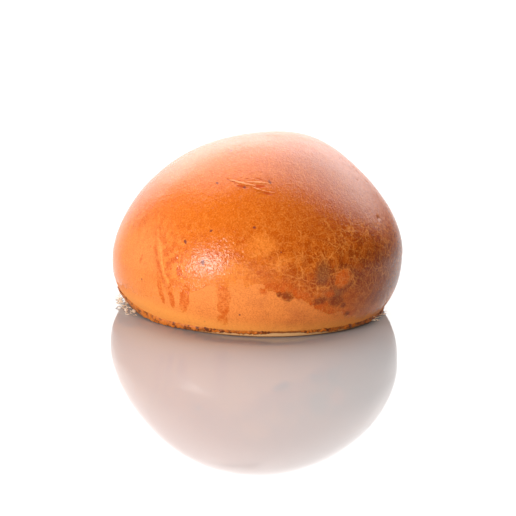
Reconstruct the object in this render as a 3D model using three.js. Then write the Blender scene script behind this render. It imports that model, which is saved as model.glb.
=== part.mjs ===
// A round baked bun with an egg-washed crust, in millimetres.
// +X is to the right, +Y is away and +Z is up. The underside is flat at height 0, and the origin
// is under the middle of the bun's length and depth.
// Azimuths are in degrees, from +X towards +Y, so 270 faces the front.
import * as THREE from 'three';

// Driving dimensions of the dough
const WAIST_RADIUS = 47.5;
const WAIST_HEIGHT = 17.4;
const WAIST_TILT = 2.4;
const CROWN_HEIGHT = 56.2;
const CROWN_ROUNDNESS = 1.2;
const CROWN_SHIFT = new THREE.Vector2(-0.8, -2.6);
const FOOT_RADIUS = 42;
const FOOT_FRONT_SPREAD = 0.9;
const UNDERCUT_ROUNDNESS = 2.7;
const LEAN = 0.021;

// The dough rose fuller along one diagonal, at the back and on one shoulder
const FULL_DIAGONAL = 315;
const DIAGONAL_FULLNESS = 0.024;
const BACK_FULLNESS = 0.045;
const SHOULDER = { x: 19.4, y: 15.3, rise: 3.7, width: 13.8 };

// The rim: a bead of dark baked wash, above a pale skirt of wash that ran onto the tray
const SOLE_EDGE_INSET = 0.9;
const SKIRT_BOTTOM = 0.3;
const SKIRT_TOP = 0.9;
const CREASE_HEIGHT = 1.3;
const BEAD_BOTTOM = 1.7;
const BEAD_TOP = 2.6;
const BEAD_REACH = 0.35;
const BEAD_WAVES = [
  { count: 17, reach: 0.12, turn: 0.4 },
  { count: 29, reach: 0.1, turn: 2.1 },
  { count: 43, reach: 0.08, turn: 4.4 },
];
const RIM_NOTCH_HEIGHT = 0.7;

// On the left the bead curls up and stands off, and flakes of the skirt stick out under it
const CURL = { azimuth: 191, spread: 17, reach: 1.7, rise: 1.8 };
const FLAKES = [
  { azimuth: 180, spread: 5, reach: 2.2 },
  { azimuth: 189, spread: 4, reach: 3.6 },
  { azimuth: 198, spread: 3, reach: 2.9 },
  { azimuth: 206, spread: 3, reach: 2.3 },
  { azimuth: 336, spread: 3, reach: 1.3 },
  { azimuth: 343, spread: 3, reach: 2.2 },
  { azimuth: 351, spread: 4, reach: 1.2 },
];

// Slow swells and dips of the crust
const SWELLS = [
  { lobes: 3, depth: 0.22, turn: 1.1, climb: 1.5 },
  { lobes: 5, depth: 0.16, turn: 3.7, climb: -2.2 },
  { lobes: 8, depth: 0.1, turn: 0.6, climb: 3.1 },
];

// How finely the skin is divided
const SEGMENTS = 120;
const SOLE_RINGS = 4;
const UNDERCUT_RINGS = 8;
const DOME_RINGS = 21;

const FULL_TURN = 2 * Math.PI;
const radians = THREE.MathUtils.degToRad;

// A smooth hill in azimuth, 1 at its middle and round past 360 degrees
function hill(azimuth, middle, spread) {
  const away = Math.atan2(Math.sin(azimuth - radians(middle)), Math.cos(azimuth - radians(middle)));
  return Math.exp(-0.5 * (away / radians(spread)) ** 2);
}

function footRadius(azimuth) {
  return FOOT_RADIUS + FOOT_FRONT_SPREAD * Math.max(0, -Math.sin(azimuth));
}

function waistHeight(azimuth) {
  return WAIST_HEIGHT + WAIST_TILT * Math.cos(azimuth - radians(FULL_DIAGONAL));
}

// How far the skirt's flakes, the curled lip and the ragged bead stand out from the foot
function flakeReach(azimuth) {
  let reach = 0;
  for (const flake of FLAKES) {
    reach = Math.max(reach, flake.reach * hill(azimuth, flake.azimuth, flake.spread));
  }
  return reach;
}

function beadReach(azimuth) {
  let reach = BEAD_REACH + CURL.reach * hill(azimuth, CURL.azimuth, CURL.spread);
  for (const wave of BEAD_WAVES) {
    reach += wave.reach * Math.sin(wave.count * azimuth + wave.turn);
  }
  return reach;
}

function curlRise(azimuth) {
  return CURL.rise * hill(azimuth, CURL.azimuth, CURL.spread);
}

function swell(azimuth, climb) {
  const fade = Math.sin(Math.PI * climb);
  let depth = 0;
  for (const wave of SWELLS) {
    depth += wave.depth * Math.sin(wave.lobes * azimuth + wave.turn + wave.climb * climb);
  }
  return fade * depth;
}

// Each ring of the skin is a function from azimuth to its radius, its height and its share of
// the dome's rise: 0 up to the waist and 1 at the crown.
function soleRing(share) {
  return (azimuth) => ({
    radius: share * (footRadius(azimuth) - SOLE_EDGE_INSET),
    height: 0,
    rise: 0,
  });
}

function skirtRing(height) {
  return (azimuth) => ({
    radius: footRadius(azimuth) + flakeReach(azimuth),
    height,
    rise: 0,
  });
}

function creaseRing() {
  return (azimuth) => ({
    radius: footRadius(azimuth) - BEAD_REACH / 2,
    height: CREASE_HEIGHT + curlRise(azimuth) / 2,
    rise: 0,
  });
}

function beadRing(height) {
  return (azimuth) => ({
    radius: footRadius(azimuth) + beadReach(azimuth),
    height: height + curlRise(azimuth),
    rise: 0,
  });
}

// The undercut runs from the notch over the bead out to the waist
function undercutRing(share) {
  return (azimuth) => {
    const notch = BEAD_TOP + RIM_NOTCH_HEIGHT + curlRise(azimuth);
    const height = THREE.MathUtils.lerp(notch, waistHeight(azimuth), share);
    const down = (waistHeight(azimuth) - height) / (waistHeight(azimuth) - CREASE_HEIGHT);
    const foot = footRadius(azimuth);
    return {
      radius: foot + (WAIST_RADIUS - foot) * (1 - down ** UNDERCUT_ROUNDNESS),
      height,
      rise: 0,
    };
  };
}

// The dome runs from the waist, at share 0, to the crown, at share 1
function domeRing(share) {
  const turn = (1 - share) * Math.PI / 2;
  const rise = Math.cos(turn) ** CROWN_ROUNDNESS;
  return (azimuth) => {
    const diagonal = DIAGONAL_FULLNESS * Math.cos(2 * (azimuth - radians(FULL_DIAGONAL)));
    const back = BACK_FULLNESS * Math.max(0, Math.sin(azimuth)) ** 2;
    const fullness = 4 * rise * (1 - rise) * (diagonal + back);
    const skin = swell(azimuth, share) * Math.sin(turn);
    return {
      radius: WAIST_RADIUS * Math.sin(turn) * (1 + fullness) + skin,
      height: THREE.MathUtils.lerp(waistHeight(azimuth), CROWN_HEIGHT, rise),
      rise,
    };
  };
}

function skinRings() {
  const rings = [];
  for (let i = 0; i <= SOLE_RINGS; i++) {
    rings.push(soleRing(i / SOLE_RINGS));
  }
  rings.push(skirtRing(SKIRT_BOTTOM), skirtRing(SKIRT_TOP), creaseRing());
  rings.push(beadRing(BEAD_BOTTOM), beadRing(BEAD_TOP));
  for (let i = 0; i < UNDERCUT_RINGS; i++) {
    rings.push(undercutRing(i / UNDERCUT_RINGS));
  }
  for (let i = 0; i <= DOME_RINGS; i++) {
    rings.push(domeRing(i / DOME_RINGS));
  }
  return rings;
}

// The crown sits off centre, one shoulder swells above the rest, and the whole bun leans a little
function settle(azimuth, { radius, height, rise }) {
  const x = radius * Math.cos(azimuth) + CROWN_SHIFT.x * rise ** 2;
  const y = radius * Math.sin(azimuth) + CROWN_SHIFT.y * rise ** 2;
  const away = (x - SHOULDER.x) ** 2 + (y - SHOULDER.y) ** 2;
  const z = height + rise * SHOULDER.rise * Math.exp(-away / (2 * SHOULDER.width ** 2));
  return [x + LEAN * z, y, z];
}

// A lathe turns the plain profile, and each of its points is then set on the uneven skin
function bunGeometry() {
  const rings = skinRings();
  const profile = rings.map((ring) => new THREE.Vector2(ring(0).radius, ring(0).height));
  profile[0].x = 0;
  profile[rings.length - 1].x = 0;
  const geometry = new THREE.LatheGeometry(profile, SEGMENTS);
  const position = geometry.attributes.position;
  for (let i = 0; i < position.count; i++) {
    const azimuth = FULL_TURN * (Math.floor(i / rings.length) % SEGMENTS) / SEGMENTS;
    position.setXYZ(i, ...settle(azimuth, rings[i % rings.length](azimuth)));
  }
  geometry.computeBoundingBox();
  const middle = geometry.boundingBox.getCenter(new THREE.Vector3());
  return geometry.translate(-middle.x, -middle.y, 0);
}

const crust = new THREE.MeshStandardMaterial({ color: 0xd9742a, roughness: 0.32, metalness: 0 });
const bun = new THREE.Mesh(bunGeometry(), crust);
bun.name = 'bun';

const object = new THREE.Group();
object.add(bun);

export default object;
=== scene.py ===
import math

import bpy
from mathutils import Matrix, Vector


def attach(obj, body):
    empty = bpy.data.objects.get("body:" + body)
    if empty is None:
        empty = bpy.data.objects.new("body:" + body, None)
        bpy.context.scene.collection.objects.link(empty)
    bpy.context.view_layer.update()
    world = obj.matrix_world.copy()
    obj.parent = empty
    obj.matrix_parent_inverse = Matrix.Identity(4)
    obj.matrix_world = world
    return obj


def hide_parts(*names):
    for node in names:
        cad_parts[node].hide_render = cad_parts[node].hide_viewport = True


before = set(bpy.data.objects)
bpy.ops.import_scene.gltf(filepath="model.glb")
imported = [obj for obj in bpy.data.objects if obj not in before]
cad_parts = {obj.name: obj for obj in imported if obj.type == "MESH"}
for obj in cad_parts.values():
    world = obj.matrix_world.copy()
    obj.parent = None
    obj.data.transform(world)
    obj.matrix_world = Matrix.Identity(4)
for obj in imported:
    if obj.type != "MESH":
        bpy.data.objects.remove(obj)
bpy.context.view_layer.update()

# ------------------------------------------------------------------------------------------------
# The crust
# One ball of soft enriched dough that rose on a tray to a tall dome over an undercut foot. Egg
# wash was brushed over the top, ran down the flanks and baked to a thin cracked glaze; below its
# wavy edge the dough is paler and matt.
# ------------------------------------------------------------------------------------------------
MM = 0.001
TURN = 2 * math.pi
SEAM_WIDTH = 0.001 * MM

WAIST_RADIUS = 47.5 * MM
WAIST_HEIGHT = 17.4 * MM
WAIST_TILT = 2.4 * MM
CROWN_HEIGHT = 56.2 * MM
CROWN_ROUNDNESS = 1.2
CROWN_SHIFT = (-0.8 * MM, -2.6 * MM)
FOOT_RADIUS = 42 * MM
FOOT_FRONT_SPREAD = 0.9 * MM
FOOT_HEIGHT = 1.3 * MM
SOLE_EDGE_INSET = 0.9 * MM
SOLE_HOLLOW = 0.35 * MM
UNDERCUT_ROUNDNESS = 2.7
LEAN = 0.021
FULL_DIAGONAL = math.radians(315)
DIAGONAL_FULLNESS = 0.024
BACK_FULLNESS = 0.045
SHOULDER = (19.4 * MM, 15.3 * MM)
SHOULDER_RISE = 3.7 * MM
SHOULDER_WIDTH = 13.8 * MM
SOLE_CENTRE = (-0.356 * MM, -0.1 * MM)
SKIN_SIZES = {
    "Waist Radius": WAIST_RADIUS,
    "Waist Height": WAIST_HEIGHT,
    "Waist Tilt": WAIST_TILT,
    "Crown Height": CROWN_HEIGHT,
    "Shoulder Rise": SHOULDER_RISE,
    "Lean": LEAN,
    "Lump Depth": 0.1 * MM,
    "Pit Depth": 0.4 * MM,
}

# Slow swells round the dome: how many, how deep, their turn, and how they climb
SWELLS = [(3, 0.22 * MM, 1.1, 1.5), (5, 0.16 * MM, 3.7, -2.2), (8, 0.1 * MM, 0.6, 3.1)]

# The skin's points: how many round it, and how many up the sole, its edge, the undercut and dome
SKIN_AROUND = 400
SOLE_RINGS = 14
EDGE_RINGS = 5
UNDERCUT_RINGS = 43
DOME_RINGS = 176
FRONT_FINENESS = 0.42

# Marks on the skin are placed by azimuth and elevation as seen from the middle of the dough, in
# degrees, then by their width, length (both mm) and lean to the left (degrees). Azimuths go from
# +X towards +Y, so 270 faces the front. A mark has no twin on the far side of the dough.
HEART = Vector((SOLE_CENTRE[0], SOLE_CENTRE[1], 20 * MM))
SKIN_DISTANCE = 45 * MM
FAR_SIDE_DISTANCE = 50
PITS = [
    (333.8, 19.0, 1.5, 2.6, 12),
    (356.4, 41.4, 1.0, 1.4, 0),
    (340.8, 37.0, 0.8, 0.8, 0),
    (352.8, 38.6, 0.5, 3.6, 4),
    (351.6, 33.2, 0.6, 3.9, 6),
]


class Measure:
    """A value that a node tree works out, so that shapes and finishes can be written as sums."""

    def __init__(self, tree, socket):
        self.tree = tree
        self.socket = socket

    def __add__(self, other):
        return worked(self.tree, "ADD", self, other)

    def __radd__(self, other):
        return worked(self.tree, "ADD", other, self)

    def __sub__(self, other):
        return worked(self.tree, "SUBTRACT", self, other)

    def __rsub__(self, other):
        return worked(self.tree, "SUBTRACT", other, self)

    def __mul__(self, other):
        return worked(self.tree, "MULTIPLY", self, other)

    def __rmul__(self, other):
        return worked(self.tree, "MULTIPLY", other, self)

    def __truediv__(self, other):
        return worked(self.tree, "DIVIDE", self, other)

    def __pow__(self, other):
        return worked(self.tree, "POWER", self, other)

    def __abs__(self):
        return worked(self.tree, "ABSOLUTE", self)


def feed(tree, slot, value):
    """Sets a node's input to a plain value, or links it to a worked one."""
    if isinstance(value, Measure):
        tree.links.new(value.socket, slot)
    else:
        slot.default_value = value


def placed(tree, kind, settings=None, **inputs):
    """Adds a node with its settings and its inputs, which are named by their labels."""
    node = tree.nodes.new(kind)
    for name, value in (settings or {}).items():
        setattr(node, name, value)
    for name, value in inputs.items():
        feed(tree, node.inputs[name.replace("_", " ")], value)
    return node


def worked(tree, operation, *values, clamped=False):
    node = placed(tree, "ShaderNodeMath", {"operation": operation, "use_clamp": clamped})
    for slot, value in zip(node.inputs, values):
        feed(tree, slot, value)
    return Measure(tree, node.outputs[0])


def vector_worked(tree, operation, *values, scale=None):
    """A vector sum; a distance or a dot product comes out as a single value."""
    node = placed(tree, "ShaderNodeVectorMath", {"operation": operation})
    for slot, value in zip(node.inputs, values):
        feed(tree, slot, value)
    if scale is not None:
        feed(tree, node.inputs["Scale"], scale)
    single = operation in ("DISTANCE", "LENGTH", "DOT_PRODUCT")
    return Measure(tree, node.outputs["Value" if single else "Vector"])


def sine(value):
    return worked(value.tree, "SINE", value)


def cosine(value):
    return worked(value.tree, "COSINE", value)


def larger(value, other):
    return worked(value.tree, "MAXIMUM", value, other)


def share(value, start, end):
    """How far a value has gone from start to end, held between 0 and 1."""
    return worked(value.tree, "DIVIDE", value - start, end - start, clamped=True)


def eased(value, start, end):
    """The same with a soft start and end."""
    node = placed(value.tree, "ShaderNodeMapRange", {"interpolation_type": "SMOOTHSTEP"},
                  Value=value, From_Min=start, From_Max=end)
    return Measure(value.tree, node.outputs[0])


def mound(distance, width):
    """A smooth hill that is 1 in its middle."""
    return worked(distance.tree, "EXPONENT", (distance / width) ** 2 * -0.5)


def hill_round(azimuth, middle, spread):
    """A smooth hill round the bun, 1 at its middle; middle and spread are in degrees."""
    away = 1 - cosine(azimuth - math.radians(middle))
    return worked(azimuth.tree, "EXPONENT", away * (-1 / math.radians(spread) ** 2))


def degrees_past(azimuth, middle):
    """How many degrees an azimuth lies past a middle one, from -180 to 180."""
    away = azimuth - math.radians(middle)
    return worked(away.tree, "ARCTAN2", sine(away), cosine(away)) * math.degrees(1)


def joined(tree, x, y, z):
    return Measure(tree, placed(tree, "ShaderNodeCombineXYZ", X=x, Y=y, Z=z).outputs[0])


def split(vector):
    node = placed(vector.tree, "ShaderNodeSeparateXYZ", Vector=vector)
    return [Measure(vector.tree, out) for out in node.outputs]


def lumps(place, size, detail=2.0, seed=0.0):
    """Uneven lumps of one size, from about -1 to 1."""
    node = placed(place.tree, "ShaderNodeTexNoise", {"noise_dimensions": "4D"},
                  Vector=place, W=seed, Scale=1 / size, Detail=detail, Roughness=0.5)
    return (Measure(place.tree, node.outputs[0]) - 0.5) * 2


def skin_direction(azimuth, elevation):
    turned, raised = math.radians(azimuth), math.radians(elevation)
    flat = math.cos(raised)
    return Vector((flat * math.cos(turned), flat * math.sin(turned), math.sin(raised)))


def mark_distance(outward, azimuth, elevation, width, length, lean):
    """How far a place on the skin is from the middle of a mark, with 1 at the mark's edge."""
    tree = outward.tree
    middle = skin_direction(azimuth, elevation)
    level = skin_direction(azimuth + 90, 0)
    uphill = middle.cross(level)
    leaned = math.radians(lean)
    across = level * math.cos(leaned) - uphill * math.sin(leaned)
    along = uphill * math.cos(leaned) + level * math.sin(leaned)
    per_mm = 2 * SKIN_DISTANCE / MM
    sideways = vector_worked(tree, "DOT_PRODUCT", outward, across * (per_mm / width))
    endways = vector_worked(tree, "DOT_PRODUCT", outward, along * (per_mm / length))
    behind = 1 - vector_worked(tree, "DOT_PRODUCT", outward, middle)
    return (sideways ** 2 + endways ** 2) ** 0.5 + behind * FAR_SIDE_DISTANCE


def marks(outward, places, inner, outer):
    """Where any of some marks lies: 1 up to its inner edge and 0 past its outer one."""
    total = None
    for place in places:
        found = 1 - eased(mark_distance(outward, *place), inner, outer)
        total = found if total is None else larger(total, found)
    return total


def from_heart(place):
    """The direction of a place on the skin from the middle of the dough."""
    tree = place.tree
    return vector_worked(tree, "NORMALIZE", vector_worked(tree, "SUBTRACT", place, HEART))


def azimuth_of(place):
    x, y, _ = split(place)
    return worked(place.tree, "ARCTAN2", y - SOLE_CENTRE[1], x - SOLE_CENTRE[0])


def shape_tree(name, sizes):
    """A Geometry Nodes tree with named inputs for its sizes, and those inputs as measures."""
    tree = bpy.data.node_groups.new(name, "GeometryNodeTree")
    tree.interface.new_socket("Geometry", in_out="OUTPUT", socket_type="NodeSocketGeometry")
    for label, size in sizes.items():
        kind = "NodeSocketObject" if isinstance(size, bpy.types.Object) else "NodeSocketFloat"
        tree.interface.new_socket(label, in_out="INPUT", socket_type=kind).default_value = size
    given = tree.nodes.new("NodeGroupInput")
    return tree, {label: Measure(tree, given.outputs[label]) for label in sizes}


def finish_tree(tree, geometry, material):
    """Ends a tree in real mesh, smooth shading, its material and its output."""
    real = placed(tree, "GeometryNodeRealizeInstances", Geometry=geometry)
    smooth = placed(tree, "GeometryNodeSetShadeSmooth", Geometry=Measure(tree, real.outputs[0]))
    coated = placed(tree, "GeometryNodeSetMaterial", Geometry=Measure(tree, smooth.outputs[0]))
    coated.inputs["Material"].default_value = material
    out = tree.nodes.new("NodeGroupOutput")
    tree.links.new(coated.outputs[0], out.inputs["Geometry"])


def made_piece(name, tree, sizes):
    """Runs a tree with its sizes and keeps the result as a plain mesh piece."""
    piece = bpy.data.objects.new(name, bpy.data.meshes.new(name))
    bpy.context.scene.collection.objects.link(piece)
    step = piece.modifiers.new("shape", "NODES")
    step.node_group = tree
    for item in tree.interface.items_tree:
        if item.in_out == "INPUT":
            step[item.identifier] = sizes[item.name]
    shaped = piece.evaluated_get(bpy.context.evaluated_depsgraph_get())
    mesh = bpy.data.meshes.new_from_object(shaped)
    piece.modifiers.clear()
    piece.data = mesh
    return piece


def here(tree):
    return Measure(tree, placed(tree, "GeometryNodeInputPosition").outputs[0])


def normal_here(tree):
    return Measure(tree, placed(tree, "GeometryNodeInputNormal").outputs[0])


def point_sheet(tree, around, up):
    """A sheet of points, and two measures that run from 0 to 1 over its two ways."""
    sheet = placed(tree, "GeometryNodeMeshGrid", Size_X=1.0, Size_Y=1.0)
    sheet.inputs["Vertices X"].default_value = around + 1
    sheet.inputs["Vertices Y"].default_value = up + 1
    x, y, _ = split(here(tree))
    return Measure(tree, sheet.outputs["Mesh"]), x + 0.5, y + 0.5


def set_places(tree, geometry, place):
    node = placed(tree, "GeometryNodeSetPosition", Geometry=geometry, Position=place)
    return Measure(tree, node.outputs[0])


def raised(tree, geometry, height):
    """Moves a surface out along its normal."""
    outward = vector_worked(tree, "SCALE", normal_here(tree), scale=height)
    node = placed(tree, "GeometryNodeSetPosition", Geometry=geometry, Offset=outward)
    return Measure(tree, node.outputs[0])


def closed_up(tree, geometry):
    node = placed(tree, "GeometryNodeMergeByDistance", Geometry=geometry, Distance=SEAM_WIDTH)
    return Measure(tree, node.outputs[0])


def foot_radius(azimuth):
    return FOOT_RADIUS + FOOT_FRONT_SPREAD * larger(-1 * sine(azimuth), 0)


def finer_front(along):
    """Turns an even run round the bun into an azimuth with its points closer at the front."""
    even = along * TURN
    return even - FRONT_FINENESS * cosine(even)


# The lower edge of the thick wash is highest just left of the front and lowest on the right. A
# place round the bun is given by its azimuth and its spread, both in degrees.
WASH_EDGE_HEIGHT = 8.6 * MM
WASH_EDGE_ARCH = 10 * MM
WASH_EDGE_ARCH_PLACE = (263, 18)
WASH_EDGE_DROP = 5.5 * MM
WASH_EDGE_DROP_PLACE = (326, 17)
WASH_THICKNESS = 0.05 * MM


def above_wash_edge(place):
    """How high a place is over the wavy lower edge of the thick wash."""
    _, _, level = split(place)
    azimuth = azimuth_of(place)
    arch = WASH_EDGE_ARCH * hill_round(azimuth, *WASH_EDGE_ARCH_PLACE)
    drop = WASH_EDGE_DROP * hill_round(azimuth, *WASH_EDGE_DROP_PLACE)
    wave = 1.6 * MM * lumps(place, 7 * MM, seed=7.0) + 0.5 * MM * lumps(place, 1.8 * MM, seed=2.5)
    return level - (WASH_EDGE_HEIGHT + arch - drop) + wave


def bun_skin(material):
    tree, size = shape_tree("bun_skin", SKIN_SIZES)
    rings = SOLE_RINGS + EDGE_RINGS + UNDERCUT_RINGS + DOME_RINGS
    sheet, along, up = point_sheet(tree, SKIN_AROUND, rings)
    azimuth = finer_front(along)
    ring = up * rings
    edge_start = SOLE_RINGS
    undercut_start = edge_start + EDGE_RINGS
    dome_start = undercut_start + UNDERCUT_RINGS
    sole = share(ring, 0, edge_start)
    edge = share(ring, edge_start, undercut_start) * (math.pi / 2)
    undercut = share(ring, undercut_start, dome_start)
    dome = share(ring, dome_start, rings)

    foot = foot_radius(azimuth)
    waist = size["Waist Height"] + size["Waist Tilt"] * cosine(azimuth - FULL_DIAGONAL)
    bulge = 1 - (1 - undercut) ** UNDERCUT_ROUNDNESS
    turn = (1 - dome) * (math.pi / 2)
    rise = larger(cosine(turn), 0) ** CROWN_ROUNDNESS
    fullness = DIAGONAL_FULLNESS * cosine(2 * (azimuth - FULL_DIAGONAL))
    fullness = fullness + BACK_FULLNESS * larger(sine(azimuth), 0) ** 2
    fullness = 1 + 4 * rise * (1 - rise) * fullness
    radius = sole * (foot - SOLE_EDGE_INSET) + SOLE_EDGE_INSET * sine(edge)
    radius = (radius + bulge * (size["Waist Radius"] - foot)) * fullness
    for lobes, depth, start, climb in SWELLS:
        swell = depth * sine(lobes * azimuth + start + climb * dome)
        radius = radius + swell * sine(dome * math.pi)
    radius = radius * sine(turn)
    height = SOLE_HOLLOW * (1 - sole ** 2) + FOOT_HEIGHT * (1 - cosine(edge))
    height = height + undercut * (waist - FOOT_HEIGHT) + rise * (size["Crown Height"] - waist)

    x = radius * cosine(azimuth) + CROWN_SHIFT[0] * rise ** 2
    y = radius * sine(azimuth) + CROWN_SHIFT[1] * rise ** 2
    off_shoulder = ((x - SHOULDER[0]) ** 2 + (y - SHOULDER[1]) ** 2) ** 0.5
    z = height + rise * size["Shoulder Rise"] * mound(off_shoulder, SHOULDER_WIDTH)
    x = x + size["Lean"] * z
    skin = set_places(tree, sheet, joined(tree, x + SOLE_CENTRE[0], y + SOLE_CENTRE[1], z))
    skin = closed_up(tree, skin)

    # Lumps, the step at the edge of the wash and the burst bubbles stand on the smooth skin
    at = here(tree)
    _, _, level = split(at)
    relief = size["Lump Depth"] * (lumps(at, 9 * MM, seed=1.3) + 0.5 * lumps(at, 3 * MM, seed=4.1))
    relief = relief + WASH_THICKNESS * eased(above_wash_edge(at), -0.5 * MM, 0.5 * MM)
    relief = relief - size["Pit Depth"] * marks(from_heart(at), PITS, 0.2, 1.1)
    skin = raised(tree, skin, relief * eased(level, 0.3 * MM, 3 * MM))
    finish_tree(tree, skin, material)
    return tree


def colour(red, green, blue):
    """A colour in linear light."""
    return (red, green, blue, 1.0)


def mixed(amount, start, end):
    """Goes from one colour to another by an amount."""
    tree = amount.tree
    node = placed(tree, "ShaderNodeMix", {"data_type": "RGBA"}, Factor=amount)
    feed(tree, node.inputs[6], start)
    feed(tree, node.inputs[7], end)
    return Measure(tree, node.outputs[2])


def new_finish(name):
    material = bpy.data.materials.new(name)
    material.use_nodes = True
    tree = material.node_tree
    at = Measure(tree, placed(tree, "ShaderNodeTexCoord").outputs["Object"])
    return material, tree, tree.nodes["Principled BSDF"], at


def set_relief(tree, surface, height):
    """Lets a finish catch the light as if it had fine relief of that height."""
    bump = placed(tree, "ShaderNodeBump", Height=height, Distance=1.0, Strength=1.0)
    tree.links.new(bump.outputs[0], surface.inputs["Normal"])


def effect(name, inputs, output):
    """A shared effect: a shader node group with named inputs and one named output."""
    tree = bpy.data.node_groups.new(name, "ShaderNodeTree")
    tree.interface.new_socket("Place", in_out="INPUT", socket_type="NodeSocketVector")
    for label, size in inputs.items():
        socket = tree.interface.new_socket(label, in_out="INPUT", socket_type="NodeSocketFloat")
        socket.default_value = size
    tree.interface.new_socket(output, in_out="OUTPUT", socket_type="NodeSocketFloat")
    given = tree.nodes.new("NodeGroupInput")
    return tree, {out.name: Measure(tree, out) for out in given.outputs if out.name}


def end_effect(tree, value):
    out = tree.nodes.new("NodeGroupOutput")
    tree.links.new(value.socket, out.inputs[0])
    return tree


def with_effect(group, place, **inputs):
    node = placed(place.tree, "ShaderNodeGroup", {"node_tree": group}, Place=place, **inputs)
    return Measure(place.tree, node.outputs[0])


def baked_grain():
    """The fine orange-peel grain of a baked wash, as a height."""
    tree, given = effect("baked_grain", {"Fineness": 1 / MM, "Depth": 0.04 * MM}, "Height")
    node = placed(tree, "ShaderNodeTexNoise", Vector=given["Place"], Scale=given["Fineness"],
                  Detail=2.0, Roughness=0.45)
    pimples = placed(tree, "ShaderNodeTexVoronoi", Vector=given["Place"], Scale=given["Fineness"])
    pimples = 1 - eased(Measure(tree, pimples.outputs["Distance"]), 0.0, 0.55)
    grain = (Measure(tree, node.outputs[0]) - 0.5) * 2 + pimples * 0.8
    return end_effect(tree, grain * given["Depth"])


def toasting():
    """Uneven toasting from pale, 0, to dark, 1, in blotches with finer flecks in them."""
    tree, given = effect("toasting", {"Fineness": 0.4 / MM, "Contrast": 1.0}, "Tone")
    node = placed(tree, "ShaderNodeTexNoise", Vector=given["Place"], Scale=given["Fineness"],
                  Detail=5.0, Roughness=0.6)
    tone = (Measure(tree, node.outputs[0]) - 0.5) * given["Contrast"] * 2 + 0.5
    return end_effect(tree, worked(tree, "MAXIMUM", worked(tree, "MINIMUM", tone, 1), 0))


def crackle():
    """A net of fine cracks in a thin glaze: 1 on a crack, 0 between, broken here and there."""
    tree, given = effect("crackle", {"Fineness": 0.4 / MM, "Width": 0.05, "Breaks": 0.5}, "Crack")
    place = given["Place"]
    bend = placed(tree, "ShaderNodeTexNoise", Vector=place, Scale=given["Fineness"], Detail=2.5)
    bend = vector_worked(tree, "SUBTRACT", Measure(tree, bend.outputs[1]), (0.5, 0.5, 0.5))
    scaled = vector_worked(tree, "SCALE", place, scale=given["Fineness"])
    bent = vector_worked(tree, "ADD", scaled, vector_worked(tree, "SCALE", bend, scale=1.1))
    cells = placed(tree, "ShaderNodeTexVoronoi", {"feature": "DISTANCE_TO_EDGE"},
                   Vector=bent, Scale=1.0)
    line = 1 - share(Measure(tree, cells.outputs[0]) / given["Width"], 0, 1)
    gaps = placed(tree, "ShaderNodeTexNoise", Vector=scaled, Scale=0.7, Detail=3.0)
    kept = eased(Measure(tree, gaps.outputs[0]), given["Breaks"] - 0.12, given["Breaks"] + 0.12)
    return end_effect(tree, line * kept)


GRAIN = baked_grain()
TOASTING = toasting()
CRACKLE = crackle()

# Where single runs of wash hung down the left flank, and other marks, placed as the pits are
RUNS = [
    (230.2, -8.0, 2.2, 18.0, -14),
    (235.6, -10.0, 2.4, 14.0, -5),
    (241.6, -10.0, 4.2, 19.0, 12),
    (257.8, -6.5, 5.6, 7.0, -30),
    (257.8, -11.5, 4.6, 7.5, 0),
    (257.2, -17.5, 4.4, 5.0, 0),
    (217.3, 1.1, 1.4, 4.2, 0),
    (221.0, 6.5, 0.8, 1.8, 0),
]
DARK_PATCHES = [
    (282.4, -6.4, 5.0, 3.6, 15),
    (279.3, -5.6, 2.4, 2.0, 0),
    (295.8, -8.7, 6.2, 3.2, -12),
    (303.2, -9.7, 8.0, 4.4, 6),
    (306.8, -11.8, 3.6, 2.2, 0),
    (310.1, -16.0, 2.4, 2.2, 0),
    (327.0, -6.0, 2.0, 1.6, 0),
]
ORANGE_PATCHES = [
    (273.2, -4.6, 3.4, 2.4, 10),
    (289.0, -6.2, 4.0, 2.6, 0),
    (299.5, -6.5, 5.0, 3.4, 0),
]
# A greyish smear on the right front: painted dark reflection and painted shade
DARK_REFLECTION_AND_SHADE_PATCHES = [
    (296.4, 2.0, 7.6, 15.0, 6),
    (301.5, -6.5, 13.0, 5.4, 0),
]
AMBER_BLISTER = [(305.0, -0.5, 7.8, 8.2, 0)]
# Paler wash on the front, partly painted light: the soft glow round the softbox's highlight
PALE_AND_GLOW_PATCHES = [
    (279.5, 6.5, 10.0, 7.0, 0),
    (262.0, 1.0, 27.0, 16.0, 0),
    (272.0, 13.0, 18.0, 12.0, 0),
]
TEAR_GAPS = [
    (270.6, 40.2, 4.2, 1.6, 4),
    (260.5, 39.7, 6.4, 1.2, 12),
    (252.6, 43.0, 5.6, 0.9, 16),
    (257.6, 42.9, 2.2, 0.6, -25),
    (262.8, 44.3, 1.4, 0.7, 0),
    (270.0, 44.2, 3.2, 0.5, 16),
    (275.0, 36.2, 5.0, 0.8, 14),
]
SPECKS = [
    (248.6, 4.9, 2.0, 2.4, 0),
    (249.6, 17.8, 1.3, 1.3, 0),
    (268.8, 20.3, 1.3, 1.2, 0),
    (238.8, 11.6, 2.0, 1.3, 50),
    (244.1, 40.7, 1.7, 1.3, 40),
    (235.4, 64.2, 1.4, 1.4, 0),
    (261.9, 39.3, 1.4, 1.3, 0),
    (276.6, 42.6, 1.4, 2.5, -20),
    (219.7, -6.7, 0.8, 0.8, 0),
    (242.1, -21.0, 1.0, 0.7, 0),
    (249.6, -19.0, 0.8, 0.8, 0),
    (264.2, -14.5, 0.8, 0.8, 0),
    (279.7, 10.8, 0.7, 0.8, 0),
    (331.1, -18.4, 1.4, 1.0, 0),
]

# On the left the smooth flank ends along a lapped edge of the wash, which slants to the right
# on its way down: its azimuth level with the middle of the dough, and its slant, in degrees
FLANK_EDGE = 230.5
FLANK_SLANT = 36

# At the front the wash pooled a little above the tray, over a bare strip
BEAD_LIFT = 0.6 * MM
BEAD_LIFT_PLACE = (278, 22)
BARE_STRIP_PLACE = (284, 34)
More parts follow.
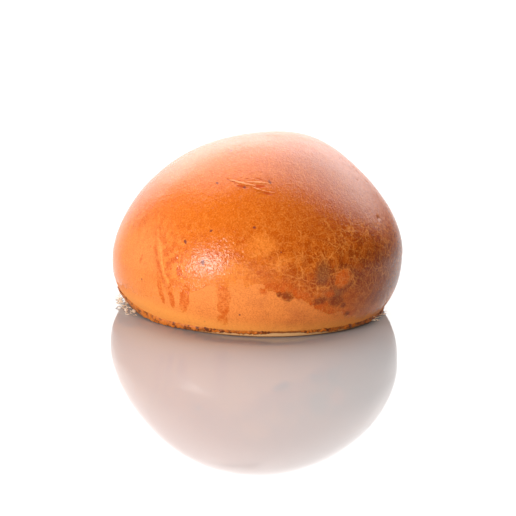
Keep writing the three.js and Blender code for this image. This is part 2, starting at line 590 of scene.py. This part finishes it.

# Where the crust browned and burnt (partly painted shade), stayed pale, crazed and wrinkled most
BACK = (105, 42)
BROWNED_AND_SHADED_SIDE = (322, 34)
BURNT_AND_SHADED_SIDE = (338, 18)
SOFT_EDGED_SIDE = (312, 22)
FRONT_RIGHT = (291, 18)
PALE_FOOT = (217, 22)
CRAZED_SIDE = (304, 27)
WRINKLED_SIDE = (350, 45)

# How rough bare dough is, how much smoother the wash is, and how much rougher the tear
DOUGH_ROUGHNESS = 0.52
WASH_SMOOTHNESS = 0.31
TEAR_ROUGHNESS = 0.4
GLAZE_IOR = 1.36
PEEL_DEPTH = 0.05 * MM
PORE_DEPTH = 0.034 * MM
PLEAT_DEPTH = 0.032 * MM
CRACK_DEPTH = 0.02 * MM
TEAR_DEPTH = 0.12 * MM

THICK_GLAZE = colour(0.59, 0.115, 0.005)
MOTTLE_COLOUR = colour(0.52, 0.075, 0.001)
RUN_COLOUR = colour(0.55, 0.090, 0.003)
BROWN_GLAZE = colour(0.26, 0.034, 0.001)
BURNT_AND_SHADED_GLAZE = colour(0.12, 0.018, 0.001)
THIN_GLAZE = colour(0.69, 0.185, 0.024)
PALE_BAND = colour(0.71, 0.205, 0.040)
CLOUDY_BAND = colour(0.50, 0.120, 0.028)
RAW_EDGE = colour(0.80, 0.30, 0.055)
CRACK_COLOUR = colour(0.74, 0.26, 0.050)
PATCH_COLOUR = colour(0.19, 0.026, 0.001)
AMBER_COLOUR = colour(0.61, 0.095, 0.001)
DARK_REFLECTION_AND_SHADE_COLOUR = colour(0.17, 0.052, 0.018)
SHADED_GAP_COLOUR = colour(0.44, 0.055, 0.001)
SPECK_COLOUR = colour(0.20, 0.040, 0.020)
SOLE_STRIP = colour(0.60, 0.33, 0.14)
SCORCH = colour(0.17, 0.046, 0.012)
SOLE_PALE = colour(0.62, 0.33, 0.13)
SOLE_BROWN = colour(0.30, 0.12, 0.035)


def crust_finish():
    material, tree, surface, at = new_finish("glazed_crust")
    _, _, level = split(at)
    azimuth = azimuth_of(at)
    outward = from_heart(at)
    wander = placed(tree, "ShaderNodeTexNoise", Vector=at, Scale=0.9 / MM, Detail=2.0)
    wander = vector_worked(tree, "SUBTRACT", Measure(tree, wander.outputs[1]), (0.5, 0.5, 0.5))
    ragged = vector_worked(tree, "ADD", outward, vector_worked(tree, "SCALE", wander, scale=0.018))

    # Thick wash over the dome, in brown mottles; browner to the right, partly as painted shade
    over_edge = above_wash_edge(at) + 4.2 * MM * lumps(at, 3.2 * MM, detail=3.0, seed=12.0)
    back = hill_round(azimuth, *BACK) * (1 - eased(level, 38 * MM, 50 * MM))
    from_axis = vector_worked(tree, "LENGTH", joined(tree, *split(outward)[:2], 0.0))
    right = larger(hill_round(azimuth, *BROWNED_AND_SHADED_SIDE), back * 0.6) - 0.3
    right = 0.3 + right * eased(from_axis, 0.05, 0.7)
    soft_edge = 0.3 + 1.6 * hill_round(azimuth, *SOFT_EDGED_SIDE)
    wash = eased(over_edge / soft_edge, -0.5 * MM, 0.7 * MM)
    blotch = with_effect(TOASTING, at, Fineness=0.13 / MM, Contrast=1.0)
    tone = with_effect(TOASTING, at, Fineness=0.36 / MM, Contrast=1.6)
    flecks = with_effect(TOASTING, at, Fineness=1.3 / MM, Contrast=1.3)
    stipple = with_effect(TOASTING, at, Fineness=2.3 / MM, Contrast=1.5)
    patchy = 1 - 0.85 * eased(level, 26 * MM, 38 * MM)
    mottled = eased(tone, 0.4, 0.68) * (0.35 + 0.5 * right) * patchy
    glaze = mixed(mottled, THICK_GLAZE, MOTTLE_COLOUR)
    glaze = mixed(0.6 * eased(flecks, 0.4, 0.8) * (1 - tone), glaze, THIN_GLAZE)
    freckles = with_effect(TOASTING, at, Fineness=0.62 / MM, Contrast=2.0)
    freckled = eased(freckles, 0.5, 0.7) * (0.35 + 0.65 * eased(tone, 0.35, 0.6)) * patchy
    glaze = mixed(freckled * 0.7, glaze, MOTTLE_COLOUR)
    # Browner and burnt on the right, turned from the softbox: partly real, partly painted shade
    low_right = hill_round(azimuth, *BURNT_AND_SHADED_SIDE)
    browned_and_shaded = right * larger(eased(level, 6 * MM, 20 * MM), low_right)
    browned_and_shaded = browned_and_shaded * (0.8 + patchy * (0.5 * eased(tone + 0.3 * blotch, 0.4, 0.9) - 0.3))
    glaze = mixed(browned_and_shaded, glaze, BROWN_GLAZE)
    burnt_and_shaded = low_right * 0.75 * (1 - eased(level, 22 * MM, 34 * MM))
    glaze = mixed(burnt_and_shaded, glaze, BURNT_AND_SHADED_GLAZE)

    # Thin wash on the left flank, streaked downwards, as far as the lapped edge
    sideways = vector_worked(tree, "NORMALIZE", joined(tree, *split(outward)[:2], 0.0))
    lapped = degrees_past(azimuth, FLANK_EDGE) + FLANK_SLANT * split(outward)[2]
    lapped = lapped + 2.2 * lumps(at, 3.2 * MM, detail=3.0, seed=14.0)
    below_crown = 1 - eased(level + 5 * MM * (tone - 0.5), 24 * MM, 35 * MM)
    flank = (1 - eased(lapped, -0.9, 0.6)) * eased(lapped, -86, -60) * below_crown
    streaks = joined(tree, *[part * 30 for part in split(sideways)[:2]], level / (11 * MM))
    streaks = eased(lumps(streaks, 1.0, seed=15.0), -0.1, 0.5)
    thin = mixed(streaks * 0.35 + flecks * 0.15, THIN_GLAZE, THICK_GLAZE)
    lapped_wash = mound(lapped - 7.0, 6.0) * below_crown
    glaze = mixed(lapped_wash * 0.85, glaze, THIN_GLAZE)
    glaze = mixed(lapped_wash * eased(freckles + tone, 0.9, 1.15), glaze, MOTTLE_COLOUR)
    glaze = mixed(flank * 0.9, glaze, thin)

    # Paler, cloudy dough under the thick wash, runs, burnt patches, painted dark reflection and
    # shade
    band = mixed(eased(blotch, 0.45, 0.9) * 0.7, PALE_BAND, CLOUDY_BAND)
    band = mixed(flecks * 0.25, band, THICK_GLAZE)
    skin = mixed(wash * (1 - 0.35 * flank), band, glaze)
    front_right = hill_round(azimuth, *FRONT_RIGHT)
    thinned = (1 - front_right) * 0.75 * (1 - eased(over_edge, 0.0, 8 * MM))
    skin = mixed(thinned, skin, PALE_BAND)
    pooled = wash * (1 - eased(over_edge, 1.5 * MM, 5 * MM)) * (1 - flank)
    pooled = pooled * eased(tone, 0.3, 0.6) * (0.15 + 0.85 * front_right)
    skin = mixed(pooled * 0.95, skin, MOTTLE_COLOUR)
    wash_line = wash * (1 - wash) * 1.4 * eased(flecks, 0.2, 0.7) * (1 - flank)
    skin = mixed(wash_line, skin, CRACK_COLOUR)
    edge_fade = below_crown * eased(split(outward)[2], -0.25, 0.0)
    edge_line = mound(lapped - 0.5, 0.6) * (0.4 + 0.5 * eased(flecks, 0.2, 0.6))
    skin = mixed(edge_line * edge_fade, skin, CRACK_COLOUR)
    dark_line = mound(lapped + 1.7, 0.7) * (0.4 + 0.6 * eased(tone, 0.3, 0.6))
    skin = mixed(dark_line * edge_fade, skin, MOTTLE_COLOUR)
    runs = marks(ragged, RUNS, 0.65, 1.05)
    skin = mixed(runs * (1 - runs) * 1.4, skin, CRACK_COLOUR)
    skin = mixed(runs * (0.4 + 0.6 * eased(flecks + tone, 0.7, 1.2)), skin, RUN_COLOUR)
    # Paler front patches, partly painted light standing in for the glow round the highlight
    pale = marks(outward, PALE_AND_GLOW_PATCHES, 0.1, 1.15) * (0.85 - 0.6 * freckled)
    skin = mixed(pale, skin, THIN_GLAZE)
    # Painted dark reflection and shade: a greyish smear on the right front
    dark_reflection_and_shade = marks(outward, DARK_REFLECTION_AND_SHADE_PATCHES, 0.3, 1.1)
    skin = mixed(dark_reflection_and_shade * 0.75, skin, DARK_REFLECTION_AND_SHADE_COLOUR)
    blister = marks(ragged, AMBER_BLISTER, 0.45, 1.05)
    round_blister = marks(ragged, AMBER_BLISTER, 1.0, 1.8) * 0.6 * eased(tone, 0.2, 0.6)
    skin = mixed(round_blister, skin, PATCH_COLOUR)
    skin = mixed(blister * (1 - 0.3 * flecks), skin, AMBER_COLOUR)
    skin = mixed(marks(ragged, ORANGE_PATCHES, 0.3, 1.1) * 0.85, skin, MOTTLE_COLOUR)
    patches = marks(ragged, DARK_PATCHES, 0.4, 1.15)
    skin = mixed(patches * (0.75 + 0.25 * flecks), skin, PATCH_COLOUR)
    skin = mixed(0.26 * eased(stipple, 0.5, 0.85), skin, BROWN_GLAZE)
    skin = mixed(0.26 * (1 - eased(stipple, 0.15, 0.45)), skin, RAW_EDGE)

    # The glaze crazed as it cooled, most of all on the right
    crazed = 0.35 + 0.65 * hill_round(azimuth, *CRAZED_SIDE) * eased(level, 10 * MM, 18 * MM)
    crazed = crazed * (1 - 0.7 * larger(patches, dark_reflection_and_shade))
    crazed = crazed * (0.15 + 0.85 * eased(over_edge, 0.0, 4 * MM))
    crazed = crazed * (1 - 0.6 * flank) * (0.4 + 0.6 * eased(blotch, 0.3, 0.6))
    crazed = crazed * (1 - 0.7 * eased(level, 32 * MM, 42 * MM))
    coarse = with_effect(CRACKLE, at, Fineness=0.16 / MM, Width=0.045, Breaks=0.38)
    middling = with_effect(CRACKLE, at, Fineness=0.33 / MM, Width=0.08, Breaks=0.42)
    fine = with_effect(CRACKLE, at, Fineness=0.7 / MM, Width=0.11, Breaks=0.5)
    crack = larger(larger(coarse * 0.85, middling * 0.7), fine * 0.3)
    crack = crack * crazed * (0.5 + 0.5 * eased(flecks, 0.25, 0.65))
    crack = larger(crack, blister * (1 - blister) * 1.6 * eased(flecks, 0.3, 0.7))
    skin = mixed(crack, skin, CRACK_COLOUR)
    # Deeper orange dough shows in the tear's gaps, darkened further as painted shade in the recess
    gaps = marks(ragged, TEAR_GAPS, 0.6, 1.0)
    skin = mixed(gaps, skin, SHADED_GAP_COLOUR)
    skin = mixed(marks(ragged, SPECKS, 0.4, 1.05), skin, SPECK_COLOUR)
    skin = mixed(marks(outward, PITS, 0.2, 0.9) * 0.8, skin, PATCH_COLOUR)

    # Towards the foot: paler dough, the scorched line where wash pooled, and the bare strip
    wavy = level + 0.35 * MM * lumps(at, 1.6 * MM, seed=6.0)
    low_left = hill_round(azimuth, *PALE_FOOT)
    paler = 1 - eased(wavy - 3.5 * MM * low_left + 1.2 * MM * low_right, 2.2 * MM, 6.5 * MM)
    skin = mixed(paler * (0.9 - 0.5 * flecks), skin, RAW_EDGE)
    wavy = wavy - BEAD_LIFT * hill_round(azimuth, *BEAD_LIFT_PLACE)
    scorched = 1 - eased(wavy, 1.3 * MM, 2.1 * MM)
    bare = hill_round(azimuth, *BARE_STRIP_PLACE) * (1 - eased(wavy, 0.8 * MM, 1.1 * MM))
    skin = mixed(scorched * 0.85, skin, SCORCH)
    skin = mixed(bare, skin, SOLE_STRIP)
    sole_tone = with_effect(TOASTING, at, Fineness=0.14 / MM, Contrast=1.6)
    sole = mixed(sole_tone, SOLE_PALE, SOLE_BROWN)
    sole = mixed(0.45 * eased(flecks, 0.45, 0.75), sole, SOLE_BROWN)
    off_middle = vector_worked(tree, "DISTANCE", at, (SOLE_CENTRE[0], SOLE_CENTRE[1], 0.0))
    ring = eased(off_middle + 3 * MM * (tone - 0.5), 35 * MM, 42 * MM)
    sole = mixed(ring * 0.7, sole, SCORCH)
    skin = mixed(1 - eased(level, 0.36 * MM, 0.5 * MM), skin, sole)
    feed(tree, surface.inputs["Base Color"], skin)

    glossy = wash * eased(level, 2 * MM, 6 * MM) * (1 - 0.9 * gaps)
    rough = DOUGH_ROUGHNESS - WASH_SMOOTHNESS * glossy + TEAR_ROUGHNESS * gaps
    feed(tree, surface.inputs["Roughness"], rough)
    surface.inputs["IOR"].default_value = GLAZE_IOR
    wrinkled = 0.5 + 0.5 * hill_round(azimuth, *WRINKLED_SIDE)
    wrinkled = eased(level, 24 * MM, 38 * MM) * wrinkled
    grain = with_effect(GRAIN, at, Fineness=0.85 / MM, Depth=PEEL_DEPTH) * (1 - 0.5 * wrinkled)
    grain = grain + with_effect(GRAIN, at, Fineness=2.0 / MM, Depth=PORE_DEPTH)
    pleats = joined(tree, *[part * 62 for part in split(sideways)[:2]], level / (8 * MM))
    height = grain * (0.4 + 0.6 * wash) + PLEAT_DEPTH * lumps(pleats, 1.0, seed=9.0) * wrinkled
    set_relief(tree, surface, height - CRACK_DEPTH * crack - TEAR_DEPTH * gaps)
    return material


crust = made_piece("crust", bun_skin(crust_finish()), SKIN_SIZES)
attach(crust, "root")
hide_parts("bun")

# ------------------------------------------------------------------------------------------------
# The torn film
# Near the top the drying glaze tore as the dough swelled: three narrow strips of its skin lifted
# along the tear, with pale edges that stand clear of the gap. Each is rooted in the crust.
# ------------------------------------------------------------------------------------------------
FILM_THICKNESS = 0.16 * MM
FILM_ROOT = 0.04 * MM
FILM_FRAY = 0.7 * MM
FILM_ALONG = 60
FILM_SIDES = 10
FILM_ROUGHNESS = 0.5
FILM_IOR = 1.31
FILM_COLOUR = colour(0.66, 0.24, 0.085)

# The strips are laid on the crust from points this far outside it
OUTSIDE = 80 * MM

# Each strip's start, middle and end (azimuth and elevation), its width and its lift, both mm
FILM_STRIPS = [
    ("upper_film", (250.5, 43.6), (260.5, 41.4), (268.6, 40.5), 1.1, 0.28),
    ("fork_film", (262.0, 42.6), (270.5, 42.9), (277.2, 41.6), 0.8, 0.16),
    ("lower_film", (264.0, 40.9), (270.0, 37.6), (279.2, 36.6), 0.6, 0.36),
]


def lifted_film(name, material):
    tree, size = shape_tree(name, {
        "Crust": crust,
        "Start Azimuth": 0.0,
        "Start Elevation": 0.0,
        "Middle Azimuth": 0.0,
        "Middle Elevation": 0.0,
        "End Azimuth": 0.0,
        "End Elevation": 0.0,
        "Width": 1 * MM,
        "Lift": 0.3 * MM,
    })
    sheet, along, around = point_sheet(tree, FILM_ALONG, FILM_SIDES)
    early, late = (1 - along) ** 2, along ** 2
    halfway = 2 * along * (1 - along)
    azimuth = early * size["Start Azimuth"] + halfway * size["Middle Azimuth"]
    azimuth = azimuth + late * size["End Azimuth"]
    elevation = early * size["Start Elevation"] + halfway * size["Middle Elevation"]
    elevation = elevation + late * size["End Elevation"]
    taper = larger(sine(along * math.pi), 0) ** 0.6
    across = cosine(around * TURN)
    frayed = FILM_FRAY * lumps(joined(tree, along * 11, across * 0.8, size["Lift"] * 9000), 1.0)
    elevation = elevation + (across * size["Width"] / 2 + frayed) * taper / SKIN_DISTANCE
    level = cosine(elevation)
    outward = joined(tree, level * cosine(azimuth), level * sine(azimuth), sine(elevation))
    outside = vector_worked(tree, "SCALE", outward, scale=OUTSIDE)
    outside = vector_worked(tree, "ADD", outside, HEART)
    inward = vector_worked(tree, "SCALE", outward, scale=-1.0)
    target = placed(tree, "GeometryNodeObjectInfo", Object=size["Crust"])
    found = placed(tree, "GeometryNodeRaycast", Source_Position=outside, Ray_Direction=inward,
                   Ray_Length=OUTSIDE, Target_Geometry=Measure(tree, target.outputs["Geometry"]))
    lift = (0.5 - 0.5 * across) * size["Lift"] * taper - FILM_ROOT
    lift = lift - sine(around * TURN) * FILM_THICKNESS / 2 * taper
    stood = vector_worked(tree, "SCALE", Measure(tree, found.outputs["Hit Normal"]), scale=lift)
    place = vector_worked(tree, "ADD", Measure(tree, found.outputs["Hit Position"]), stood)
    finish_tree(tree, closed_up(tree, set_places(tree, sheet, place)), material)
    return tree


def film_finish():
    material, tree, surface, at = new_finish("torn_glaze")
    tone = with_effect(TOASTING, at, Fineness=1.2 / MM, Contrast=1.0)
    feed(tree, surface.inputs["Base Color"], mixed(tone * 0.6, FILM_COLOUR, THIN_GLAZE))
    surface.inputs["Roughness"].default_value = FILM_ROUGHNESS
    surface.inputs["IOR"].default_value = FILM_IOR
    set_relief(tree, surface, with_effect(GRAIN, at, Fineness=3 / MM, Depth=0.03 * MM))
    return material


film_glaze = film_finish()
for name, start, halfway, end, width, lift in FILM_STRIPS:
    film = made_piece(name, lifted_film(name + "_shape", film_glaze), {
        "Crust": crust,
        "Start Azimuth": math.radians(start[0]),
        "Start Elevation": math.radians(start[1]),
        "Middle Azimuth": math.radians(halfway[0]),
        "Middle Elevation": math.radians(halfway[1]),
        "End Azimuth": math.radians(end[0]),
        "End Elevation": math.radians(end[1]),
        "Width": width * MM,
        "Lift": lift * MM,
    })
    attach(film, "root")

# ------------------------------------------------------------------------------------------------
# The rim
# Wash that ran down and pooled where the dough met the tray: a thin ragged bead, baked to dark
# caramel. On the left it let go of the tray and curled up and outwards as a thin lip.
# ------------------------------------------------------------------------------------------------
RIM_AROUND = 760
RIM_SIDES = 12
RIM_SIZES = {
    "Half Height": 0.95 * MM,
    "Half Depth": 0.5 * MM,
    "Raggedness": 0.75 * MM,
    "Curl Reach": 1.9 * MM,
    "Curl Rise": 2.3 * MM,
}
BEAD_HEIGHT = 1.55 * MM
BEAD_STANDS_OUT = 0.1 * MM
SLUMP = 0.55 * MM
SLUMP_PLACE = (222, 14)
CURL_TILT = math.radians(42)
CURL_PLACE = (191, 17)
LIP_PLACE = (213, 26)
NOTCH_RISE = 0.5 * MM
NOTCH_PLACE = (283.5, 4)
FLOOR_CLEARANCE = 0.03 * MM

RIM_ROUGHNESS = 0.42
BEAD_DARK = colour(0.13, 0.030, 0.008)
BEAD_BROWN = colour(0.46, 0.115, 0.010)
LIP_AMBER = colour(0.66, 0.20, 0.030)


def kept_up(tree, geometry):
    """Keeps every point a hair above the floor."""
    x, y, level = split(here(tree))
    return set_places(tree, geometry, joined(tree, x, y, larger(level, FLOOR_CLEARANCE)))


def ragged_bead(material):
    tree, size = shape_tree("ragged_bead", RIM_SIZES)
    sheet, along, around = point_sheet(tree, RIM_AROUND, RIM_SIDES)
    azimuth = finer_front(along)
    turned = around * -TURN
    curl = hill_round(azimuth, *CURL_PLACE)
    notch = hill_round(azimuth, *NOTCH_PLACE)
    lip = hill_round(azimuth, *LIP_PLACE)
    half_height = size["Half Height"] * (1 + 1.2 * curl - 0.6 * notch + 0.3 * lip)
    half_depth = size["Half Depth"] * (1 - 0.4 * curl)
    tilt = CURL_TILT * curl
    up = half_height * cosine(turned)
    out = half_depth * sine(turned)
    radius = foot_radius(azimuth) + BEAD_STANDS_OUT + size["Curl Reach"] * curl
    radius = radius + up * sine(tilt) + out * cosine(tilt)
    height = BEAD_HEIGHT + size["Curl Rise"] * curl + NOTCH_RISE * notch
    height = height - SLUMP * hill_round(azimuth, *SLUMP_PLACE)
    height = height + BEAD_LIFT * hill_round(azimuth, *BEAD_LIFT_PLACE)
    height = height + up * cosine(tilt) - out * sine(tilt)
    x = radius * cosine(azimuth) + LEAN * height + SOLE_CENTRE[0]
    y = radius * sine(azimuth) + SOLE_CENTRE[1]
    bead = closed_up(tree, set_places(tree, sheet, joined(tree, x, y, height)))
    at = here(tree)
    ragged = lumps(at, 0.8 * MM, seed=3.0) + 0.9 * lumps(at, 2.6 * MM, seed=8.0)
    smoother = 1 - 0.45 * hill_round(azimuth_of(at), *LIP_PLACE)
    bead = raised(tree, bead, ragged * size["Raggedness"] * smoother)
    finish_tree(tree, kept_up(tree, bead), material)
    return tree


def rim_finish():
    material, tree, surface, at = new_finish("caramelised_rim")
    azimuth = azimuth_of(at)
    tone = with_effect(TOASTING, at, Fineness=0.7 / MM, Contrast=2.2)
    flecks = with_effect(TOASTING, at, Fineness=1.8 / MM, Contrast=1.8)
    paler = larger(hill_round(azimuth, *LIP_PLACE), hill_round(azimuth, *NOTCH_PLACE))
    skin = mixed(eased(tone - 0.2 * paler, 0.35, 0.85), BEAD_BROWN, BEAD_DARK)
    skin = mixed(paler * 0.4 * (1 - tone), skin, LIP_AMBER)
    skin = mixed(0.5 * eased(flecks, 0.6, 0.8) * (1 - 0.6 * paler), skin, BEAD_DARK)
    feed(tree, surface.inputs["Base Color"], skin)
    surface.inputs["Roughness"].default_value = RIM_ROUGHNESS
    surface.inputs["IOR"].default_value = GLAZE_IOR
    set_relief(tree, surface, with_effect(GRAIN, at, Fineness=2.4 / MM, Depth=0.05 * MM))
    return material


rim = made_piece("rim", ragged_bead(rim_finish()), RIM_SIZES)
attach(rim, "root")

# ------------------------------------------------------------------------------------------------
# The flakes
# A frayed lace of dry, pale dough and wash that stuck to the tray and tore off with the bun. It
# lies under the curled lip on the left, with a few bits on the right.
# ------------------------------------------------------------------------------------------------
FLAKE_LENGTH = 0.8 * MM
FLAKE_WIDTH = 0.26 * MM
FLAKE_THICKNESS = 0.1 * MM
FLAKE_ROOT = 0.4 * MM
FLAKE_LOWEST = 0.2 * MM
FLAKE_BEND = 0.25 * MM
FLAKE_UNEVENNESS = 0.07 * MM
FLAKE_ROUGHNESS = 0.5
FLAKE_CREAM = colour(0.95, 0.84, 0.70)
FLAKE_TAN = colour(0.78, 0.46, 0.20)


def scattered(tree, low, high, seed):
    """A value drawn at random for each point, always the same for the same seed."""
    node = placed(tree, "FunctionNodeRandomValue", {"data_type": "FLOAT"})
    feed(tree, node.inputs[2], low)
    feed(tree, node.inputs[3], high)
    feed(tree, node.inputs["Seed"], seed)
    return Measure(tree, node.outputs[1])


def torn_lace(name, material, seed):
    tree, size = shape_tree(name, {
        "Count": 60,
        "Middle Azimuth": math.pi,
        "Half Spread": 0.2,
        "Reach": 3 * MM,
        "Rise": 1 * MM,
    })
    azimuth = size["Middle Azimuth"] + size["Half Spread"] * scattered(tree, -1.0, 1.0, seed)
    reached = scattered(tree, 0.0, 1.0, seed + 1)
    radius = foot_radius(azimuth) + size["Reach"] * reached - FLAKE_ROOT
    height = size["Rise"] * (1 - reached * 0.7) * scattered(tree, 0.0, 1.0, seed + 2)
    place = joined(tree, radius * cosine(azimuth) + SOLE_CENTRE[0],
                   radius * sine(azimuth) + SOLE_CENTRE[1], FLAKE_LOWEST + height)
    points = placed(tree, "GeometryNodePoints", Count=size["Count"], Position=place)
    flake = placed(tree, "GeometryNodeMeshIcoSphere", Radius=1.0, Subdivisions=2)
    tilted = joined(tree, scattered(tree, -0.4, 0.4, seed + 3),
                    scattered(tree, -0.5, 0.3, seed + 4),
                    azimuth + scattered(tree, -0.9, 0.9, seed + 5))
    scale = joined(tree, FLAKE_LENGTH * scattered(tree, 0.45, 1.0, seed + 6),
                   FLAKE_WIDTH * scattered(tree, 0.5, 1.2, seed + 7), FLAKE_THICKNESS)
    flakes = placed(tree, "GeometryNodeInstanceOnPoints", Points=Measure(tree, points.outputs[0]),
                    Instance=Measure(tree, flake.outputs["Mesh"]), Rotation=tilted, Scale=scale)
    real = placed(tree, "GeometryNodeRealizeInstances", Geometry=Measure(tree, flakes.outputs[0]))
    at = here(tree)
    bent = joined(tree, 0.0, 0.0, FLAKE_BEND * lumps(at, 1.1 * MM, seed=5.0))
    uneven = vector_worked(tree, "SCALE", normal_here(tree),
                           scale=FLAKE_UNEVENNESS * lumps(at, 0.4 * MM))
    moved = placed(tree, "GeometryNodeSetPosition", Geometry=Measure(tree, real.outputs[0]),
                   Offset=vector_worked(tree, "ADD", bent, uneven))
    finish_tree(tree, kept_up(tree, Measure(tree, moved.outputs[0])), material)
    return tree


def flake_finish():
    material, tree, surface, at = new_finish("dry_flakes")
    tone = with_effect(TOASTING, at, Fineness=1.1 / MM, Contrast=1.5)
    feed(tree, surface.inputs["Base Color"], mixed(tone, FLAKE_CREAM, FLAKE_TAN))
    surface.inputs["Roughness"].default_value = FLAKE_ROUGHNESS
    set_relief(tree, surface, with_effect(GRAIN, at, Fineness=4 / MM, Depth=0.03 * MM))
    return material


flake_dough = flake_finish()
left_flakes = made_piece("left_flakes", torn_lace("left_lace", flake_dough, 11), {
    "Count": 90,
    "Middle Azimuth": math.radians(193),
    "Half Spread": math.radians(17),
    "Reach": 4.4 * MM,
    "Rise": 3.0 * MM,
})
right_flakes = made_piece("right_flakes", torn_lace("right_lace", flake_dough, 31), {
    "Count": 26,
    "Middle Azimuth": math.radians(341),
    "Half Spread": math.radians(9),
    "Reach": 2.4 * MM,
    "Rise": 3.0 * MM,
})
for flakes in (left_flakes, right_flakes):
    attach(flakes, "root")

# ------------------------------------------------------------------------------------------------
# The floor
# A wide, flat sheet of glossy pale plastic, laid under the bun, with a weak mirror image in it.
# It is part of the stage.
# ------------------------------------------------------------------------------------------------
FLOOR_HALF = 4.0
FLOOR_GREY = colour(0.35, 0.345, 0.345)
FLOOR_ROUGHNESS = 0.04
FLOOR_IOR = 1.5

material, _, surface, _ = new_finish("pale_floor")
surface.inputs["Base Color"].default_value = FLOOR_GREY
surface.inputs["Roughness"].default_value = FLOOR_ROUGHNESS
surface.inputs["IOR"].default_value = FLOOR_IOR
mesh = bpy.data.meshes.new("floor")
corners = [(-1, -1), (1, -1), (1, 1), (-1, 1)]
mesh.from_pydata([(x * FLOOR_HALF, y * FLOOR_HALF, 0.0) for x, y in corners], [], [(0, 1, 2, 3)])
mesh.materials.append(material)
floor = bpy.data.objects.new("floor", mesh)
bpy.context.scene.collection.objects.link(floor)

# ------------------------------------------------------------------------------------------------
# The light
# A bright arch of soft light from behind and overhead, dimmer near the floor, with a lit wall on
# the left. Two lamps stand at the front: a softbox on the left and a broad fill.
# ------------------------------------------------------------------------------------------------
ARCH_LIGHT = 4.3
ARCH_MIDDLE = 0.08
ARCH_LOW_SHARE = 0.45
LEFT_WALL = Vector((-0.95, 0.05, -0.05)).normalized()
LEFT_WALL_LIGHT = 1.25
DARK_SIDE_LIGHT = 0.01
LIGHT_TINT = colour(1.0, 0.99, 0.98)
BACKDROP_WHITE = colour(1.0, 1.0, 1.0)

world = bpy.data.worlds.new("studio")
bpy.context.scene.world = world
world.use_nodes = True
tree = world.node_tree
tree.nodes.clear()
toward = Measure(tree, placed(tree, "ShaderNodeTexCoord").outputs["Generated"])
x, y, z = split(toward)
arch = eased(y, 0.06, 0.13) * (1 - eased(abs(x - ARCH_MIDDLE), 0.60, 0.85))
low_share = ARCH_LOW_SHARE * (1 - 0.9 * eased(x, 0.1, 0.55))
low_share = low_share * (1 - 0.3 * eased(-1 * x, 0.2, 0.5))
arch = arch * (low_share + (1 - low_share) * eased(z, 0.05, 0.45))
off_wall = vector_worked(tree, "DISTANCE", toward, LEFT_WALL)
light = DARK_SIDE_LIGHT + ARCH_LIGHT * arch + LEFT_WALL_LIGHT * (1 - eased(off_wall, 0.35, 0.8))
seen = Measure(tree, placed(tree, "ShaderNodeLightPath").outputs["Is Camera Ray"])
studio = placed(tree, "ShaderNodeBackground", Strength=light)
studio.inputs["Color"].default_value = LIGHT_TINT
backdrop = placed(tree, "ShaderNodeBackground", Strength=1.0)
backdrop.inputs["Color"].default_value = BACKDROP_WHITE
blend = tree.nodes.new("ShaderNodeMixShader")
feed(tree, blend.inputs[0], seen)
tree.links.new(studio.outputs[0], blend.inputs[1])
tree.links.new(backdrop.outputs[0], blend.inputs[2])
sky = tree.nodes.new("ShaderNodeOutputWorld")
tree.links.new(blend.outputs[0], sky.inputs["Surface"])

# Each lamp's direction from the bun, its distance, width and height (metres) and its power
SOFTBOX = ((-0.66, -0.68, 0.28), 1.2, 0.4, 0.3, 11.5)
FILL = ((-0.04, -0.99, 0.0), 1.3, 1.2, 0.9, 19.5)


def lamp(name, toward, distance, width, height, power):
    light = bpy.data.lights.new(name, "AREA")
    light.shape = "ELLIPSE"
    light.size = width
    light.size_y = height
    light.energy = power
    lamp = bpy.data.objects.new(name, light)
    lamp.location = HEART + Vector(toward).normalized() * distance
    lamp.rotation_euler = Vector(toward).to_track_quat("Z", "Y").to_euler()
    lamp.visible_camera = False
    bpy.context.scene.collection.objects.link(lamp)
    return lamp


lamp("softbox", *SOFTBOX)
lamp("fill", *FILL).visible_glossy = False

# ------------------------------------------------------------------------------------------------
# The camera
# It looks slightly down at the bun's front from a metre away, through a long lens, with a small
# roll. The picture is 516 pixels square, and AIM is where the middle of the dough lies in it.
# ------------------------------------------------------------------------------------------------
PICTURE = 516
SENSOR_WIDTH = 36.0
CAMERA_DISTANCE = 1.0
CAMERA_DOWN = math.radians(13.57)
CAMERA_ROLL = math.radians(2.0)
PIXELS_PER_METRE = 3042.7
AIM = (256.76, 244.38)

camera_data = bpy.data.cameras.new("camera")
camera_data.sensor_width = SENSOR_WIDTH
camera_data.lens = camera_data.sensor_width * PIXELS_PER_METRE * CAMERA_DISTANCE / PICTURE
camera_data.clip_start = 0.05
camera_data.clip_end = 20.0
camera = bpy.data.objects.new("camera", camera_data)
bpy.context.scene.collection.objects.link(camera)
ahead = Vector((0, math.cos(CAMERA_DOWN), -math.sin(CAMERA_DOWN)))
above = Vector((0, math.sin(CAMERA_DOWN), math.cos(CAMERA_DOWN)))
right = Vector((1, 0, 0))
camera.location = HEART - ahead * CAMERA_DISTANCE
to_right = (PICTURE / 2 - AIM[0]) / PIXELS_PER_METRE
to_below = (PICTURE / 2 - AIM[1]) / PIXELS_PER_METRE
turned_right = to_right * math.cos(CAMERA_ROLL) + to_below * math.sin(CAMERA_ROLL)
turned_below = to_below * math.cos(CAMERA_ROLL) - to_right * math.sin(CAMERA_ROLL)
middle = HEART + right * turned_right - above * turned_below
facing = (middle - camera.location).to_track_quat("-Z", "Y").to_matrix().to_4x4()
rolled = facing @ Matrix.Rotation(CAMERA_ROLL, 4, "Z")
camera.rotation_euler = rolled.to_euler()
bpy.context.scene.camera = camera

bpy.context.scene.view_settings.view_transform = "Standard"
